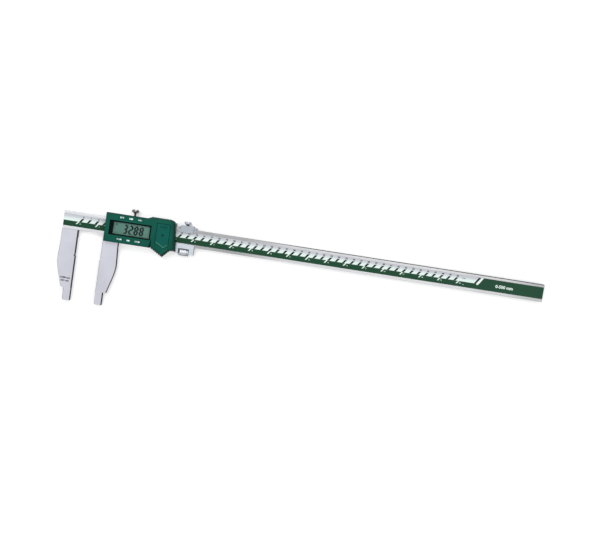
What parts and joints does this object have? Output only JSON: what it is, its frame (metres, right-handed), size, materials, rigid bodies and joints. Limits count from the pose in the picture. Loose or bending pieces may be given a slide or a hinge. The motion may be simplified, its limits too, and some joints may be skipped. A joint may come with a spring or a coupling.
{
  "type": "digital caliper",
  "caption": "Long-jaw digital caliper with a printed scale on a steel beam, a sliding display head with push buttons, nib jaws and a screw-driven fine-adjust carriage.",
  "frame": {"origin": "centre of the footprint, on the plane the caliper rests on when it lies on its back", "axes": "+X along the beam from the jaws to its free end, +Y from the jaw tips towards the beam's upper edge, +Z out of the display"},
  "size_m": [0.6442, 0.1324, 0.0191],
  "materials": {
    "ground_steel": "fine ground stainless steel",
    "satin_chrome": "satin hardened stainless steel",
    "dark_steel": "turned steel, darker",
    "green_plastic": "moulded, fine texture",
    "green_cover": "moulded, fine texture",
    "black_plastic": "smooth",
    "clear_window": "clear moulded window",
    "lcd_grey": "reflective LCD",
    "circuit_green": "solder-masked laminate",
    "label_print": "printed foil, silver and green",
    "rubber": "soft",
    "spring_brass": "rolled strip"
  },
  "bodies": {
    "beam": {"beam": "ground_steel", "scale_grid": "circuit_green", "scale_label": "label_print", "fixed_jaw": "satin_chrome", "jaw_rivet_1": "ground_steel", "jaw_rivet_2": "ground_steel", "jaw_rivet_3": "ground_steel", "stop_pin": "dark_steel"},
    "slider": {"slider_frame": "satin_chrome", "gib_strip": "dark_steel", "gib_screw_1": "dark_steel", "gib_screw_2": "dark_steel", "fine_adjust_rod": "dark_steel", "housing": "green_plastic", "housing_screw_1": "dark_steel", "housing_screw_2": "dark_steel", "housing_screw_3": "dark_steel", "housing_screw_4": "dark_steel", "display_bezel": "black_plastic", "display_window": "clear_window", "lcd_panel": "lcd_grey", "lcd_connector": "rubber", "circuit_board": "circuit_green", "reading_head": "circuit_green", "coin_cell": "ground_steel", "battery_contact_lower": "spring_brass", "battery_contact_side": "spring_brass", "switch_upper_1": "black_plastic", "switch_upper_2": "black_plastic", "switch_upper_3": "black_plastic", "switch_lower_1": "black_plastic", "switch_lower_2": "black_plastic", "switch_lower_3": "black_plastic"},
    "carriage": {"carriage_frame": "satin_chrome", "carriage_gib": "dark_steel"},
    "adjust_nut": {"fine_adjust_nut": "ground_steel"},
    "slider_lock": {"slider_lock_screw": "dark_steel"},
    "carriage_lock": {"carriage_lock_screw": "satin_chrome"},
    "battery_cover": {"battery_cover": "green_cover"},
    "button_upper_1": {"button_upper_1": "green_plastic"},
    "button_upper_2": {"button_upper_2": "green_plastic"},
    "button_upper_3": {"button_upper_3": "green_plastic"},
    "button_lower_1": {"button_lower_1": "green_plastic"},
    "button_lower_2": {"button_lower_2": "green_plastic"},
    "button_lower_3": {"button_lower_3": "green_plastic"}
  },
  "joints": [
    {"name": "slider_travel", "type": "slide", "parent": "beam", "child": "slider", "axis": [1, 0, 0], "range_m": [-0.03288, 0.46712]},
    {"name": "carriage_travel", "type": "slide", "parent": "slider", "child": "carriage", "axis": [1, 0, 0], "range_m": [0, 0.006]},
    {"name": "nut_turn", "type": "hinge", "parent": "carriage", "child": "adjust_nut", "pos_m": [-0.15955, 0.02035, 0.0056], "axis": [1, 0, 0], "range_deg": [0, 4330]},
    {"name": "slider_lock_turn", "type": "hinge", "parent": "slider", "child": "slider_lock", "pos_m": [-0.22935, 0.06325, 0.0056], "axis": [0, 1, 0], "range_deg": [0, 540]},
    {"name": "carriage_lock_turn", "type": "hinge", "parent": "carriage", "child": "carriage_lock", "pos_m": [-0.15875, 0.05825, 0.0056], "axis": [0, 1, 0], "range_deg": [0, 540]},
    {"name": "battery_cover_slide", "type": "slide", "parent": "slider", "child": "battery_cover", "axis": [0, -1, 0], "range_m": [0, 0.012]},
    {"name": "button_upper_1_press", "type": "slide", "parent": "slider", "child": "button_upper_1", "axis": [0, 0, -1], "range_m": [0, 0.0006], "stiffness_N_per_m": 2500},
    {"name": "button_upper_2_press", "type": "slide", "parent": "slider", "child": "button_upper_2", "axis": [0, 0, -1], "range_m": [0, 0.0006], "stiffness_N_per_m": 2500},
    {"name": "button_upper_3_press", "type": "slide", "parent": "slider", "child": "button_upper_3", "axis": [0, 0, -1], "range_m": [0, 0.0006], "stiffness_N_per_m": 2500},
    {"name": "button_lower_1_press", "type": "slide", "parent": "slider", "child": "button_lower_1", "axis": [0, 0, -1], "range_m": [0, 0.0006], "stiffness_N_per_m": 2500},
    {"name": "button_lower_2_press", "type": "slide", "parent": "slider", "child": "button_lower_2", "axis": [0, 0, -1], "range_m": [0, 0.0006], "stiffness_N_per_m": 2500},
    {"name": "button_lower_3_press", "type": "slide", "parent": "slider", "child": "button_lower_3", "axis": [0, 0, -1], "range_m": [0, 0.0006], "stiffness_N_per_m": 2500}
  ],
  "couplings": [
    {"joint": "nut_turn", "follows": "carriage_travel", "rad_per_m": 12566}
  ]
}
